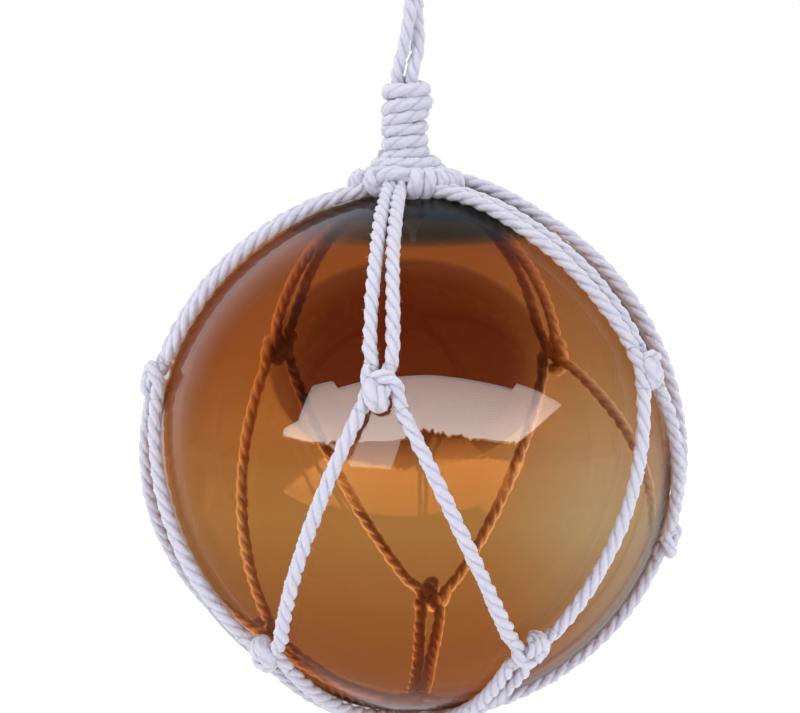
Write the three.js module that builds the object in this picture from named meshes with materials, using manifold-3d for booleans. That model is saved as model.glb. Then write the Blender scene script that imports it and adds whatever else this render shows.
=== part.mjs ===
// A glass float ball in a net of knotted cotton cord, hanging by the loop at the neck of the net.
// Millimetres, +Z up. The origin is inside the top bend of the hanging loop, where a hook bears.
// The net is laid out from the ball's centre. Azimuth 0 faces the front (-Y) and 90 the right (+X).

import * as THREE from "three";
import { mergeVertices } from "three/addons/utils/BufferGeometryUtils.js";
import Module from "manifold-3d";

const wasm = await Module();
wasm.setup();

// Driving sizes
const BALL_DIAMETER = 152;
const CORD_DIAMETER = 4;
const GAP = 0.3;
const LOOP_RISE = 158; // from the ball's centre to the inside of the loop's top bend

// How the round forms are cut into facets
const BALL_SEGMENTS = 36;
const BALL_ROWS = 20;
const CORD_SIDES = 6;
const CORD_STEP = 9.5;
const KNOT_SIDES = 5;
const KNOT_STEP = 3.6;
const LOOP_SIDES = 8;
const LOOP_STEPS = 32;
const NECK_SEGMENTS = 14;

// Cords lie on the ball with their middle at this distance from its centre
const CORD_RADIUS = CORD_DIAMETER / 2;
const BALL_RADIUS = BALL_DIAMETER / 2;
const LAY_RADIUS = BALL_RADIUS + CORD_RADIUS + GAP;

// The two cords of a pair lie side by side and bow a little apart before the knot
const PAIR_OFFSET = CORD_RADIUS + GAP / 2;
const PAIR_BOW = 0.7;

// The knots of the net, in degrees. Hand tying leaves them uneven. An upper knot's pair leaves the
// collar at its exit azimuth, and passes the points in via on its way.
const UPPER_KNOTS = [
  { name: "front", azimuth: -6.5, latitude: 19, exit: -11, via: [] },
  { name: "right", azimuth: 62, latitude: 20.5, exit: 34, via: [[44, 72], [50, 60]] },
  { name: "back_right", azimuth: 143, latitude: 17.5, exit: 130, via: [] },
  { name: "back_left", azimuth: 216, latitude: 19.5, exit: 216, via: [] },
  { name: "left", azimuth: 283, latitude: 17, exit: 303, via: [] },
];
const LOWER_KNOTS = [
  { name: "front_right", azimuth: 31, latitude: -38 },
  { name: "right", azimuth: 90, latitude: -20 },
  { name: "back", azimuth: 174, latitude: -43 },
  { name: "left", azimuth: 245, latitude: -50 },
  { name: "front_left", azimuth: 317, latitude: -41 },
];
const KNOT_REACH = 1.6 * CORD_DIAMETER;
const UPPER_SPREAD = 0.65 * CORD_DIAMETER;
const LOWER_SPREAD = 1.1 * CORD_DIAMETER;

// One more single cord runs from the collar straight to the lower knot on the right. It starts over
// the other cords, by its rise, and comes down onto the ball.
const STAY_EXIT = 84;
const STAY_VIA = [[78, 45], [79, 20]];
const STAY_REACH = 2.3 * CORD_DIAMETER;
const STAY_RISE = 0.55 * CORD_DIAMETER;

// The neck of the net: a collar on the ball, the whipping on it, and the hanging loop
const NECK_X = -2.4;
const NECK_RADIUS = 6.6;
const NECK_TOP = 110;
const WHIPPING_TURNS = 7;
const WHIPPING_GROOVE = 0.9;
const COLLAR_TOP = 87;
const COLLAR_RADIUS = 12;
const COLLAR_RISE = 1.8 * CORD_DIAMETER;
const COLLAR_REACH = 15.6;
const BOTTOM_RADIUS = 9;
const BOTTOM_REACH = 12.5;

// The hanging loop: its legs turn about each other on their way up to the bend
const LOOP_BEND = 2 * CORD_DIAMETER;
const LOOP_TWIST = 90;

const COTTON = { color: 0xdcdcee, roughness: 0.95, metalness: 0 };
const GLASS = { color: 0x8a4a17, roughness: 0.05, metalness: 0, transparent: true, opacity: 0.6 };

const toRadians = THREE.MathUtils.degToRad;

// The direction from the ball's centre at an azimuth and latitude
function compass(azimuth, latitude) {
  const across = Math.cos(toRadians(latitude));
  const x = across * Math.sin(toRadians(azimuth));
  const y = -across * Math.cos(toRadians(azimuth));
  return new THREE.Vector3(x, y, Math.sin(toRadians(latitude)));
}

// A point beside a knot, by its distance east, north and out from the knot's middle
function besideKnot(knot, east, north, out) {
  const up = compass(knot.azimuth, knot.latitude);
  const eastward = compass(knot.azimuth + 90, 0);
  const northward = new THREE.Vector3().crossVectors(up, eastward);
  const point = up.multiplyScalar(LAY_RADIUS);
  point.addScaledVector(eastward, east).addScaledVector(northward, north);
  return point.setLength(LAY_RADIUS + out);
}

// Where a cord leaves the collar (end = 1) or the bottom ring (end = -1)
function ringExit(azimuth, reach, end) {
  const centre = end > 0 ? NECK_X : 0;
  const x = centre + reach * Math.sin(toRadians(azimuth));
  const y = -reach * Math.cos(toRadians(azimuth));
  return new THREE.Vector3(x, y, end * Math.sqrt(LAY_RADIUS ** 2 - x * x - y * y));
}

// A way over the ball through some points, moved sideways by offset(t) and outwards by rise(t)
class BallRoute extends THREE.Curve {
  constructor(points, offset = () => 0, rise = () => 0) {
    super();
    this.line = new THREE.CatmullRomCurve3(points);
    this.offset = offset;
    this.rise = rise;
  }

  getPoint(t) {
    const point = this.line.getPoint(t);
    const across = this.line.getTangent(t).cross(point).normalize();
    return point.addScaledVector(across, this.offset(t)).setLength(LAY_RADIUS + this.rise(t));
  }
}

// A stretch of a route, from one distance along it to another
class Stretch extends THREE.Curve {
  constructor(route, from, to) {
    super();
    this.route = route;
    this.from = from / route.getLength();
    this.to = to / route.getLength();
  }

  getPoint(t) {
    return this.route.getPointAt(this.from + (this.to - this.from) * t);
  }
}

function roundSection(radius, sides) {
  const points = [];
  for (let side = 0; side < sides; side += 1) {
    const angle = ((side + 0.5) * 2 * Math.PI) / sides;
    points.push(new THREE.Vector2(radius * Math.cos(angle), radius * Math.sin(angle)));
  }
  return new THREE.Shape(points);
}

function cordAlong(path, sides, steps) {
  return new THREE.ExtrudeGeometry(roundSection(CORD_RADIUS, sides), { steps, extrudePath: path });
}

function turned(profile) {
  return new THREE.LatheGeometry(profile, NECK_SEGMENTS).rotateX(Math.PI / 2);
}

function solidOf(geometry) {
  const plain = geometry.clone();
  plain.deleteAttribute("normal");
  plain.deleteAttribute("uv");
  const merged = mergeVertices(plain, 1e-4);
  const mesh = new wasm.Mesh({
    numProp: 3,
    vertProperties: new Float32Array(merged.attributes.position.array),
    triVerts: new Uint32Array(merged.index.array),
  });
  return new wasm.Manifold(mesh);
}

// Joined tubes leave sealed pockets between them, which have a negative volume and are filled
function fused(geometries) {
  const [first, ...others] = geometries.map(solidOf);
  const joined = others.reduce((sum, solid) => sum.add(solid), first);
  const mesh = joined.decompose().find((shell) => shell.volume() > 0).getMesh();
  const geometry = new THREE.BufferGeometry();
  geometry.setAttribute("position", new THREE.BufferAttribute(mesh.vertProperties, 3));
  geometry.setIndex(new THREE.BufferAttribute(mesh.triVerts, 1));
  return geometry;
}

function piece(name, geometry, finish) {
  const mesh = new THREE.Mesh(geometry, new THREE.MeshStandardMaterial(finish));
  mesh.name = name;
  return mesh;
}

// A cord of the net, with the knots it ends in and how far from a knot's middle its run stops
function netCord(name, route, from, to, reach = KNOT_REACH) {
  return { name, route, from, to, reach };
}

function pairCords(row, knot, way) {
  return ["a", "b"].map((letter, index) => {
    const side = 1 - 2 * index;
    const offset = (t) => side * (PAIR_OFFSET + PAIR_BOW * Math.sin(Math.PI * t * t));
    return netCord(`${row}_cord_${knot.name}_${letter}`, new BallRoute(way, offset), null, knot);
  });
}

function upperPair(knot) {
  const exit = ringExit(knot.exit, COLLAR_REACH, 1);
  const via = knot.via.map(([azimuth, latitude]) => compass(azimuth, latitude).setLength(LAY_RADIUS));
  return pairCords("upper", knot, [exit, ...via, besideKnot(knot, 0, 0, 0)]);
}

function lowerPair(knot) {
  return pairCords("lower", knot, [ringExit(knot.azimuth, BOTTOM_REACH, -1), besideKnot(knot, 0, 0, 0)]);
}

// The two cords that part below an upper knot and run to the lower knots on either side
function middleCords(knot, index) {
  const leftward = LOWER_KNOTS.at(index - 1);
  const rightward = LOWER_KNOTS[index];
  return [[leftward, -1, "a"], [rightward, 1, "b"]].map(([lower, side, letter]) => {
    const start = besideKnot(knot, side * UPPER_SPREAD, 0, 0);
    const end = besideKnot(lower, -side * LOWER_SPREAD, 0, 0);
    return netCord(`middle_cord_${knot.name}_${letter}`, new BallRoute([start, end]), knot, lower);
  });
}

function stayCord() {
  const knot = LOWER_KNOTS[1];
  const via = STAY_VIA.map(([azimuth, latitude]) => compass(azimuth, latitude).setLength(LAY_RADIUS));
  const way = [ringExit(STAY_EXIT, COLLAR_REACH, 1), ...via, besideKnot(knot, 0, 0, 0)];
  const rise = (t) => STAY_RISE * (1 - THREE.MathUtils.smoothstep(t, 0, 0.2));
  return netCord("stay_cord", new BallRoute(way, () => 0, rise), null, knot, STAY_REACH);
}

function cordRun(cord) {
  const length = cord.route.getLength();
  const from = cord.from ? cord.reach : 0;
  const to = length - cord.reach;
  return cordAlong(new Stretch(cord.route, from, to), CORD_SIDES, Math.round((to - from) / CORD_STEP));
}

// The end of a cord inside a knot, which stops a gap short of its run
function cordEnd(cord, knot) {
  const length = cord.route.getLength();
  const reach = cord.reach - GAP;
  const [inside, outside] = cord.from === knot ? [0, reach] : [length, length - reach];
  return cordAlong(new Stretch(cord.route, inside, outside), CORD_SIDES, 1);
}

// The two turns that tie a knot, by their way east, north and out in cord diameters
const KNOT_BAR = [
  [-0.5, 0.55, 0],
  [0.35, 0.6, 0.75],
  [1.15, 0.15, 0.5],
  [1.05, -0.5, -0.1],
];
const KNOT_BUMP = [
  [-0.6, 1.2, 0.05],
  [-0.75, 0.5, 0.45],
  [-0.2, -0.3, 0.85],
  [0.05, -1, 0.6],
  [0.05, -1.25, -0.05],
];

// A turn of a knot. A lower knot is the upper one turned half round, with turn = -1.
function knotTurn(knot, way, turn) {
  const points = way.map(([east, north, out]) => {
    const distances = [east * turn, north * turn, out].map((share) => share * CORD_DIAMETER);
    return besideKnot(knot, ...distances);
  });
  const path = new THREE.CatmullRomCurve3(points);
  return cordAlong(path, KNOT_SIDES, Math.round(path.getLength() / KNOT_STEP));
}

function tiedKnot(knot, cords, turn) {
  const ends = cords.filter((cord) => cord.from === knot || cord.to === knot);
  const turns = [knotTurn(knot, KNOT_BAR, turn), knotTurn(knot, KNOT_BUMP, turn)];
  return fused([...ends.map((cord) => cordEnd(cord, knot)), ...turns]);
}

// The collar: a ring of cord over the upper ends of the net, drawn up into the neck
function topCollar() {
  const crest = BALL_RADIUS + COLLAR_RISE;
  return turned([
    new THREE.Vector2(0, BALL_RADIUS + GAP),
    new THREE.Vector2(COLLAR_RADIUS + 1, BALL_RADIUS + GAP),
    new THREE.Vector2(COLLAR_RADIUS + CORD_RADIUS, crest - 1.1 * CORD_DIAMETER),
    new THREE.Vector2(COLLAR_RADIUS + CORD_RADIUS, crest - 0.6 * CORD_DIAMETER),
    new THREE.Vector2(COLLAR_RADIUS + 0.4 * CORD_RADIUS, crest - 0.1 * CORD_DIAMETER),
    new THREE.Vector2(COLLAR_RADIUS - 0.7 * CORD_RADIUS, crest),
    new THREE.Vector2(COLLAR_RADIUS - 1.6 * CORD_RADIUS, crest - 0.2 * CORD_DIAMETER),
    new THREE.Vector2(NECK_RADIUS + 0.4, crest + 0.4 * CORD_DIAMETER),
    new THREE.Vector2(NECK_RADIUS - 0.4, COLLAR_TOP),
    new THREE.Vector2(0, COLLAR_TOP),
  ]).translate(NECK_X, 0, 0);
}

// The bound legs of the loop under a whipping of close turns
function whippedNeck() {
  const foot = COLLAR_TOP + GAP;
  const pitch = (NECK_TOP - foot) / WHIPPING_TURNS;
  const profile = [new THREE.Vector2(0, foot), new THREE.Vector2(NECK_RADIUS - WHIPPING_GROOVE, foot)];
  for (let turn = 0; turn < WHIPPING_TURNS; turn += 1) {
    const base = foot + turn * pitch;
    profile.push(new THREE.Vector2(NECK_RADIUS, base + 0.3 * pitch));
    profile.push(new THREE.Vector2(NECK_RADIUS, base + 0.7 * pitch));
    profile.push(new THREE.Vector2(NECK_RADIUS - WHIPPING_GROOVE, base + pitch));
  }
  profile.push(new THREE.Vector2(0, NECK_TOP));
  return turned(profile).translate(NECK_X, 0, 0);
}

// One leg of the loop from its foot to the bend. Its height, half spread and share of the twist
// are listed, and side is -1 for the leg that starts on the left.
function loopLeg(side) {
  const bend = LOOP_RISE + CORD_RADIUS - LOOP_BEND;
  const way = [
    [NECK_TOP + 3 * GAP, PAIR_OFFSET, 0],
    [NECK_TOP + 7, PAIR_OFFSET + 0.2, 0.3],
    [NECK_TOP + 18, PAIR_OFFSET + 1, 0.8],
    [bend - LOOP_BEND, LOOP_BEND - 1, 1],
    [bend, LOOP_BEND, 1],
  ];
  return way.map(([height, spread, share]) => {
    const middle = NECK_X * (1 - THREE.MathUtils.smoothstep(height, NECK_TOP, NECK_TOP + 12));
    const angle = toRadians(LOOP_TWIST * share);
    const reach = side * spread;
    return new THREE.Vector3(middle + reach * Math.cos(angle), reach * Math.sin(angle), height);
  });
}

function hangingLoop() {
  const top = new THREE.Vector3(0, 0, LOOP_RISE + CORD_RADIUS);
  const path = new THREE.CatmullRomCurve3([...loopLeg(-1), top, ...loopLeg(1).reverse()]);
  return cordAlong(path, LOOP_SIDES, LOOP_STEPS);
}

// The ring that gathers the lower ends of the net, with a button of cord in its middle
function bottomRing() {
  const crest = -BALL_RADIUS - GAP;
  return turned([
    new THREE.Vector2(0, crest - CORD_DIAMETER),
    new THREE.Vector2(BOTTOM_RADIUS - 2 * CORD_RADIUS, crest - 0.8 * CORD_DIAMETER),
    new THREE.Vector2(BOTTOM_RADIUS - CORD_RADIUS, crest - 0.6 * CORD_DIAMETER),
    new THREE.Vector2(BOTTOM_RADIUS, crest - CORD_DIAMETER),
    new THREE.Vector2(BOTTOM_RADIUS + 0.8 * CORD_RADIUS, crest - 0.8 * CORD_DIAMETER),
    new THREE.Vector2(BOTTOM_RADIUS + CORD_RADIUS, crest - 0.3 * CORD_DIAMETER),
    new THREE.Vector2(BOTTOM_RADIUS + 0.5 * CORD_RADIUS, crest),
    new THREE.Vector2(0, crest),
  ]);
}

const cords = [...UPPER_KNOTS.flatMap(upperPair), ...UPPER_KNOTS.flatMap(middleCords)];
cords.push(...LOWER_KNOTS.flatMap(lowerPair), stayCord());
const ball = new THREE.SphereGeometry(BALL_RADIUS, BALL_SEGMENTS, BALL_ROWS).rotateX(Math.PI / 2);

const float = new THREE.Group();
float.position.z = -LOOP_RISE;
float.add(piece("glass_ball", ball, GLASS));
cords.forEach((cord) => float.add(piece(cord.name, cordRun(cord), COTTON)));
UPPER_KNOTS.forEach((knot) => float.add(piece(`upper_knot_${knot.name}`, tiedKnot(knot, cords, 1), COTTON)));
LOWER_KNOTS.forEach((knot) => float.add(piece(`lower_knot_${knot.name}`, tiedKnot(knot, cords, -1), COTTON)));
float.add(piece("top_collar", topCollar(), COTTON));
float.add(piece("whipped_neck", whippedNeck(), COTTON));
float.add(piece("hanging_loop", hangingLoop(), COTTON));
float.add(piece("bottom_ring", bottomRing(), COTTON));

export default float;
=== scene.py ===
"""Dresses a glass float ball: hollow amber glass in a net of knotted, twisted cotton cord.

Metres, +Z up. The net is laid out from the ball's centre. Azimuth 0 faces the front (-Y) and 90
the right (+X).
"""

import math

import bpy
import numpy as np
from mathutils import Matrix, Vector


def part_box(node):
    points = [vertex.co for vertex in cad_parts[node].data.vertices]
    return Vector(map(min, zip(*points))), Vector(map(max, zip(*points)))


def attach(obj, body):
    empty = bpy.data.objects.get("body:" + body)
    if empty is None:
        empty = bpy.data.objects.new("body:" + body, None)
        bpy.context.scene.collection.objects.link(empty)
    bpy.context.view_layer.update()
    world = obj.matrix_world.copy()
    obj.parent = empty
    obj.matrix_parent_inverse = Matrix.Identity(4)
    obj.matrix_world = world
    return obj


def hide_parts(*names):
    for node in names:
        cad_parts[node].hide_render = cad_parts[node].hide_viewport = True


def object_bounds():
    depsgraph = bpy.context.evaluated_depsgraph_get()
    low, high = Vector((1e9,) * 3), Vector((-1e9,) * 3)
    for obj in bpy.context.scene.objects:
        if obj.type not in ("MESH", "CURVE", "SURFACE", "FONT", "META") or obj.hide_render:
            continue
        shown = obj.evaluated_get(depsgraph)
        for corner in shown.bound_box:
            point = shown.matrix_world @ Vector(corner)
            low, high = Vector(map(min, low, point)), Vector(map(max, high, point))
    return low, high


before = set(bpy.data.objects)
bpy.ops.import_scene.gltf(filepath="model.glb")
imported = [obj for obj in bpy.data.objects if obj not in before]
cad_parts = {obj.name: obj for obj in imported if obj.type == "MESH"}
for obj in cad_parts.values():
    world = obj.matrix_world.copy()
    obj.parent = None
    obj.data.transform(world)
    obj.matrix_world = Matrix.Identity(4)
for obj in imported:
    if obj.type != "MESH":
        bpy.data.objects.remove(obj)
CAD_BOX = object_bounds()

bl_info = {
    "name": "Glass float ball",
    "version": (1, 0, 0),
    "blender": (4, 5, 0),
    "location": "3D View > Sidebar > Float",
    "description": "Builds a hollow glass float in a net of knotted cotton cord",
    "category": "Object",
}

BODY = "root"
MM = 0.001

# Driving sizes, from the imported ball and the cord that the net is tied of
BALL_LOW, BALL_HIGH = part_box("glass_ball")
BALL_RADIUS = (BALL_HIGH.z - BALL_LOW.z) / 2
BALL_CENTRE = np.array((0.0, 0.0, (BALL_HIGH.z + BALL_LOW.z) / 2))
CORD_DIAMETER = 4 * MM
CORD_RADIUS = CORD_DIAMETER / 2
GAP = 0.3 * MM
LAY_RADIUS = BALL_RADIUS + CORD_RADIUS + GAP
LOOP_RISE = -BALL_CENTRE[2]

# The net's routes. An upper knot's pair leaves the collar at its exit azimuth and passes its via
# points. It parts and closes again between those shares of its run. Angles are in degrees.
PAIR_OFFSET = CORD_RADIUS + GAP / 2
PAIR_TOUCH = 0.86 * CORD_RADIUS
PAIR_BOW = 0.75 * MM
PAIR_PARTS = (0.4, 0.82)
PAIR_CLOSES = (0.85, 0.95)
UPPER_KEYS = ("name", "azimuth", "latitude", "exit", "via")
UPPER_KNOTS = [
    dict(zip(UPPER_KEYS, row))
    for row in (
        ("front", -6.5, 19, -11, []),
        ("right", 62, 20.5, 34, [(44, 72), (50, 60)]),
        ("back_right", 143, 17.5, 130, []),
        ("back_left", 216, 19.5, 216, []),
        ("left", 283, 17, 303, []),
    )
]
LOWER_KNOTS = [
    {"name": name, "azimuth": azimuth, "latitude": latitude}
    for name, azimuth, latitude in (
        ("front_right", 31, -38),
        ("right", 90, -20),
        ("back", 174, -43),
        ("left", 245, -50),
        ("front_left", 317, -41),
    )
]
KNOT_REACH = 1.6 * CORD_DIAMETER
UPPER_SPREAD = 0.65 * CORD_DIAMETER
LOWER_SPREAD = 1.1 * CORD_DIAMETER
STAY_EXIT = 84
STAY_VIA = [(78, 45), (79, 20)]
STAY_REACH = 2.3 * CORD_DIAMETER
STAY_RISE = 0.55 * CORD_DIAMETER
STAY_SETTLES = 0.2
STAY_TUCK = 0.6 * CORD_DIAMETER

# The neck of the net, the ring under the ball and the loop, whose legs twist by so many degrees
NECK_X = -2.4 * MM
NECK_RADIUS = 6.6 * MM
NECK_TOP = 110 * MM
COLLAR_REACH = 15.6 * MM
BOTTOM_RADIUS = 9 * MM
BOTTOM_REACH = 12.5 * MM
BOTTOM_TUCK = np.array((0.62, 0.62, 1.0))
LOOP_BEND = 2 * CORD_DIAMETER
LOOP_TWIST = 90
LOOP_CENTRES = 12 * MM
LOOP_BURIED = 5 * MM

# How finely a cord is modelled: the points of one ring, the steps along it and of its route, and the
# points of a curve between two of its given points
STRANDS = 3
RING_POINTS = 24
RING_STEP = 0.5 * MM
ROUTE_STEP = 4 * MM
ROUTE_POINTS = 400
WANDER_STEP = 10 * MM
CURVE_STEPS = 24
WOUND_STEPS = 72
WRAP_STEPS = 40

# A loose fibre: how far it leans along the cord, how far its two halves stray, its shortest share,
# how deep it is rooted, and how much thinner its middle is
FIBRE_LEAN = 1.6
FIBRE_STRAY = 0.35
FIBRE_BEND = 0.7
FIBRE_SHORTEST = 0.4
FIBRE_ROOT = 0.1 * MM
FIBRE_TAPER = 0.8


# Directions and routes over the ball

def compass(azimuth, latitude):
    """The direction from the ball's centre at an azimuth and latitude."""
    turn, lift = math.radians(azimuth), math.radians(latitude)
    return np.array((math.cos(lift) * math.sin(turn), -math.cos(lift) * math.cos(turn), math.sin(lift)))


def unit(vectors):
    """The same directions, each one long."""
    return vectors / np.linalg.norm(vectors, axis=-1, keepdims=True)


def beside_knot(knot, east, north, out):
    """A point beside a knot, by its distance east, north and out from the knot's middle."""
    up = compass(knot["azimuth"], knot["latitude"])
    eastward = compass(knot["azimuth"] + 90, 0)
    northward = np.cross(up, eastward)
    return unit(up * LAY_RADIUS + eastward * east + northward * north) * (LAY_RADIUS + out)


def ring_exit(azimuth, reach, end):
    """Where a cord leaves the collar (end = 1) or the bottom ring (end = -1)."""
    turn = math.radians(azimuth)
    x = (NECK_X if end > 0 else 0) + reach * math.sin(turn)
    y = -reach * math.cos(turn)
    return np.array((x, y, end * math.sqrt(LAY_RADIUS**2 - x * x - y * y)))


def spline(points, places):
    """Points of a centripetal Catmull-Rom curve, at places from 0 to 1 of its own parameter."""
    points = np.asarray(points, float)
    ends = 2 * points[[0, -1]] - points[[1, -2]]
    padded = np.vstack((ends[:1], points, ends[1:]))
    at = np.asarray(places) * (len(points) - 1)
    index = np.clip(at.astype(int), 0, len(points) - 2)
    share = (at - index)[:, None]
    p0, p1, p2, p3 = (padded[index + k] for k in range(4))
    d0, d1, d2 = (
        np.sqrt(np.linalg.norm(b - a, axis=1, keepdims=True)) for a, b in ((p0, p1), (p1, p2), (p2, p3))
    )
    m1 = ((p1 - p0) / d0 - (p2 - p0) / (d0 + d1) + (p2 - p1) / d1) * d1
    m2 = ((p2 - p1) / d1 - (p3 - p1) / (d1 + d2) + (p3 - p2) / d2) * d1
    curve = 2 * p1 - 2 * p2 + m1 + m2
    bend = -3 * p1 + 3 * p2 - 2 * m1 - m2
    return ((curve * share + bend) * share + m1) * share + p1


def distances(points):
    """How far along its line each point lies."""
    return np.concatenate(((0.0,), np.cumsum(np.linalg.norm(np.diff(points, axis=0), axis=1))))


def resampled(points, step):
    """The same line with points at even steps of about that length."""
    along = distances(points)
    count = max(2, round(along[-1] / step) + 1)
    places = np.linspace(0, along[-1], count)
    return np.column_stack([np.interp(places, along, points[:, axis]) for axis in range(3)])


def ball_route(points, offset=None, rise=None):
    """A way over the ball through some points, moved sideways by offset(t) and outwards by rise(t)."""
    t = np.linspace(0, 1, ROUTE_POINTS)
    line = spline(points, t)
    across = unit(np.cross(np.gradient(line, axis=0), line))
    if offset is not None:
        line = line + across * offset(t)[:, None]
    return unit(line) * (LAY_RADIUS + (rise(t)[:, None] if rise is not None else 0))


def stretch(line, start, end):
    """The part of a line between two distances along it. One under zero counts from its end."""
    along = distances(line)
    last = along[-1] + end if end <= 0 else end
    places = np.linspace(start, last, max(2, round((last - start) / ROUTE_STEP) + 1))
    return np.column_stack([np.interp(places, along, line[:, axis]) for axis in range(3)])


def smoothstep(values, low, high):
    """0 below the low value and 1 above the high one, with a soft rise between."""
    share = np.clip((values - low) / (high - low), 0, 1)
    return share * share * (3 - 2 * share)


# The cord: three twisted strands, and the fibres that stand off them

def strand_section(groove):
    """The radius of the three-lobed section at each point of a ring, as a share of the cord's radius."""
    reach = 0.5 * groove
    strand = 1 - reach
    angles = np.arange(RING_POINTS) * 2 * math.pi / RING_POINTS
    wrapped = (angles % (2 * math.pi / STRANDS)) - math.pi / STRANDS
    return reach * np.cos(wrapped) + np.sqrt(strand**2 - (reach * np.sin(wrapped)) ** 2)


def moving_frames(line):
    """The tangent and two crosswise directions at each point, turning as little as they can."""
    tangent = unit(np.gradient(line, axis=0))
    side = [unit(np.cross(tangent[0], (0.3, 0.2, 1.0)))]
    for index in range(1, len(line)):
        last = side[-1]
        side.append(unit(last - tangent[index] * np.dot(last, tangent[index])))
    side = np.array(side)
    return tangent, side, np.cross(tangent, side)


class Cord:
    """One continuous cord: its rings of points, which pieces are then cut from."""

    def __init__(self, line, seed, settings, thickness=1.0, groove=None):
        self.draw = np.random.default_rng(seed)
        self.line = line
        self.along = distances(line)
        self.tangent, side, other = moving_frames(line)
        turn = self.draw.uniform(0, 2 * math.pi) - 2 * math.pi * self.along / settings.lay_length
        knots = np.arange(0, self.along[-1] + 2 * WANDER_STEP, WANDER_STEP)
        wander = np.interp(self.along, knots, self.draw.normal(0, 1, len(knots)))
        radius = CORD_RADIUS * thickness * (1 + settings.unevenness * wander)
        section = strand_section(settings.groove if groove is None else groove)
        around = np.arange(RING_POINTS) * 2 * math.pi / RING_POINTS + turn[:, None]
        fluff = self.draw.normal(0, settings.fluff, around.shape)
        reach = radius[:, None] * (section + fluff)
        self.rings = (
            line[:, None, :]
            + (reach * np.cos(around))[..., None] * side[:, None, :]
            + (reach * np.sin(around))[..., None] * other[:, None, :]
        )

    def cut(self, start=None, end=None):
        """The stretch between two distances along the cord: the cord itself and its part."""
        low = 0 if start is None else int(np.searchsorted(self.along, start))
        high = len(self.line) - 1 if end is None else int(np.searchsorted(self.along, end))
        return self, slice(low, max(high, low + 1) + 1)


def add_object(name, data):
    """A new object in the scene that shows a mesh, a lamp or a camera."""
    made = bpy.data.objects.new(name, data)
    bpy.context.scene.collection.objects.link(made)
    return made


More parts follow.
